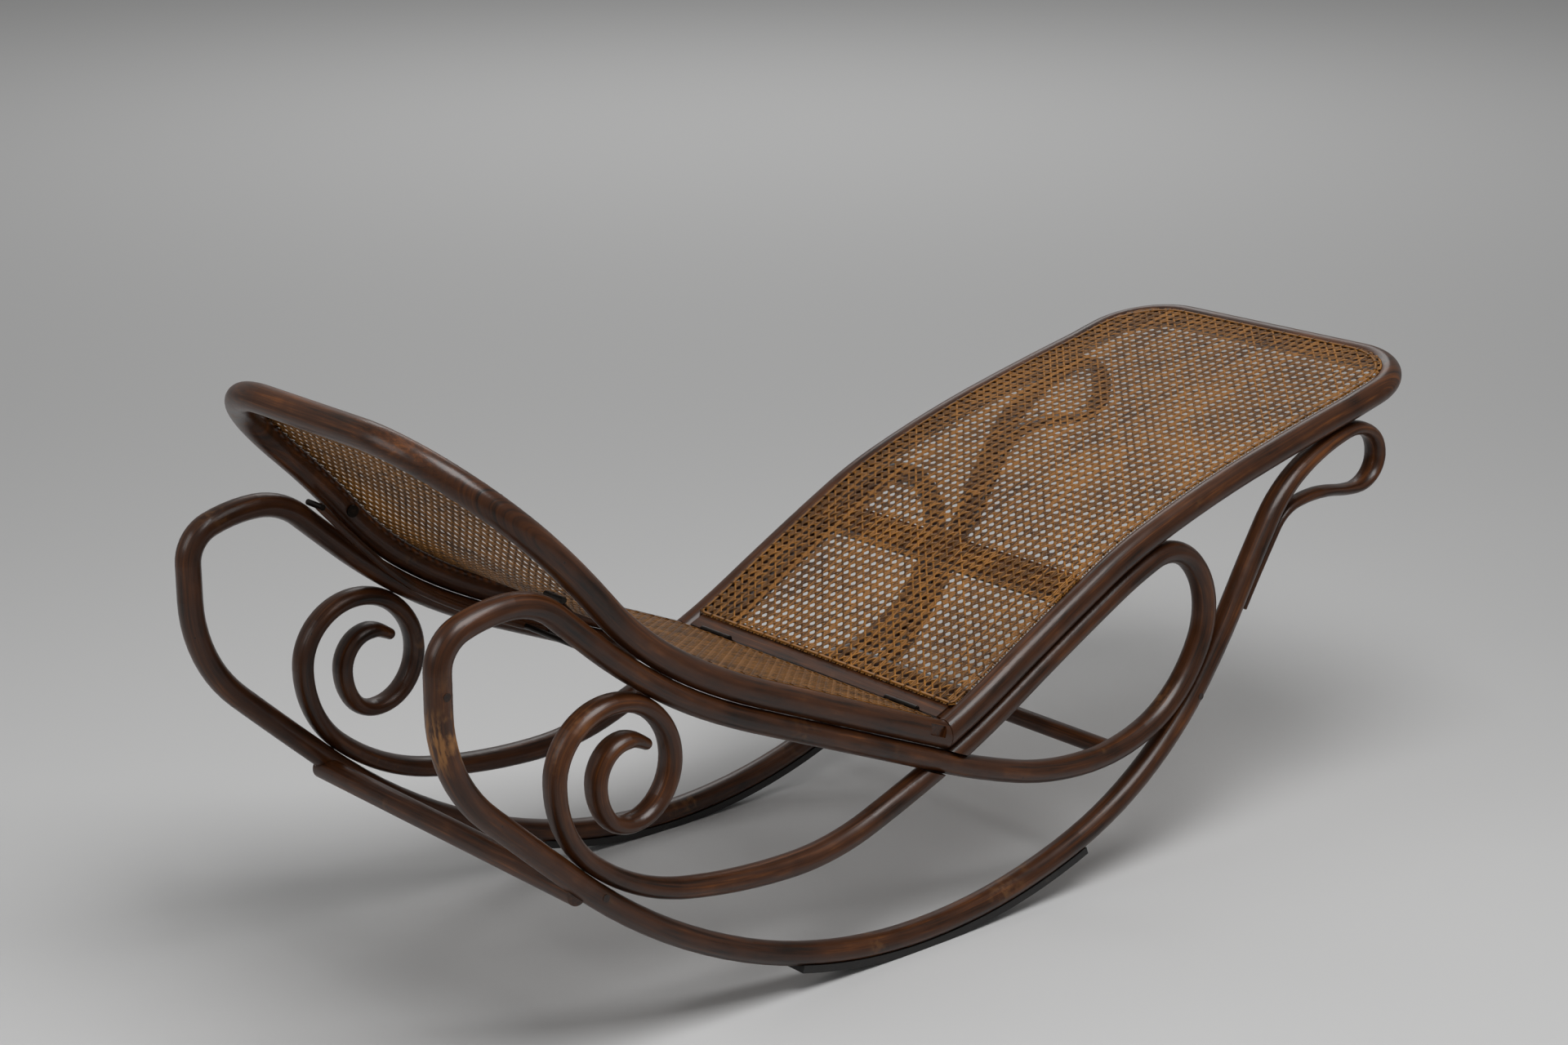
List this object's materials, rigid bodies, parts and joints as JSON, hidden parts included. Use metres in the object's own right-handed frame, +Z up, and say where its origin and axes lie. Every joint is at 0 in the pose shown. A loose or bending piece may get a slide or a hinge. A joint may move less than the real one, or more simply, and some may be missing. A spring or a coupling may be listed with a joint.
{
  "type": "rocking chaise longue",
  "caption": "Rocking chaise longue of bent beech rods on two curved runners with scrolls, a cane seat, and a cane back that tilts on hinges over a prop bail.",
  "frame": {"origin": "floor level under the middle of the overall length and width", "axes": "+X towards the sitter's feet along the length, +Y to the sitter's left, +Z up"},
  "size_m": [1.7475, 0.576, 0.795],
  "materials": {
    "bentwood": "dark glossy varnish over bent beech, worn lighter along the edges",
    "seat_cane": "honey golden six-way woven cane",
    "back_cane": "honey brown six-way woven cane",
    "wear_strip": "black worn strip",
    "iron": "dark oiled iron"
  },
  "bodies": {
    "frame": {"foot_stretcher": "bentwood", "frame_screws_left": "iron", "frame_screws_right": "iron", "head_stretcher": "bentwood", "hinge_pin_left": "iron", "hinge_pin_right": "iron", "hinge_seat_leaf_left": "iron", "hinge_seat_leaf_right": "iron", "loop_rod_left": "bentwood", "loop_rod_right": "bentwood", "prop_pivot_left": "iron", "prop_pivot_right": "iron", "runner_left": "bentwood", "runner_right": "bentwood", "runner_strip_left": "wear_strip", "runner_strip_right": "wear_strip", "scroll_rod_left": "bentwood", "scroll_rod_right": "bentwood", "seat_cane": "seat_cane", "seat_cross_rail": "bentwood", "seat_middle_rail": "bentwood", "seat_rim": "bentwood", "seat_screws": "iron"},
    "back": {"back_cane": "back_cane", "back_cross_rail": "bentwood", "back_rim": "bentwood", "hinge_back_leaf_left": "iron", "hinge_back_leaf_right": "iron", "prop_stop_left": "iron", "prop_stop_right": "iron"},
    "prop": {"prop_bail": "iron"}
  },
  "joints": [
    {"name": "back_tilt", "type": "hinge", "parent": "frame", "child": "back", "pos_m": [-0.084, 0, 0.30391], "axis": [0, 1, 0], "range_deg": [0, 20]},
    {"name": "prop_swing", "type": "hinge", "parent": "frame", "child": "prop", "pos_m": [-0.33, 0, 0.34717], "axis": [0, 1, 0], "range_deg": [0, 29]}
  ],
  "couplings": [
    {"joint": "prop_swing", "follows": "back_tilt", "ratio": 1.42}
  ]
}
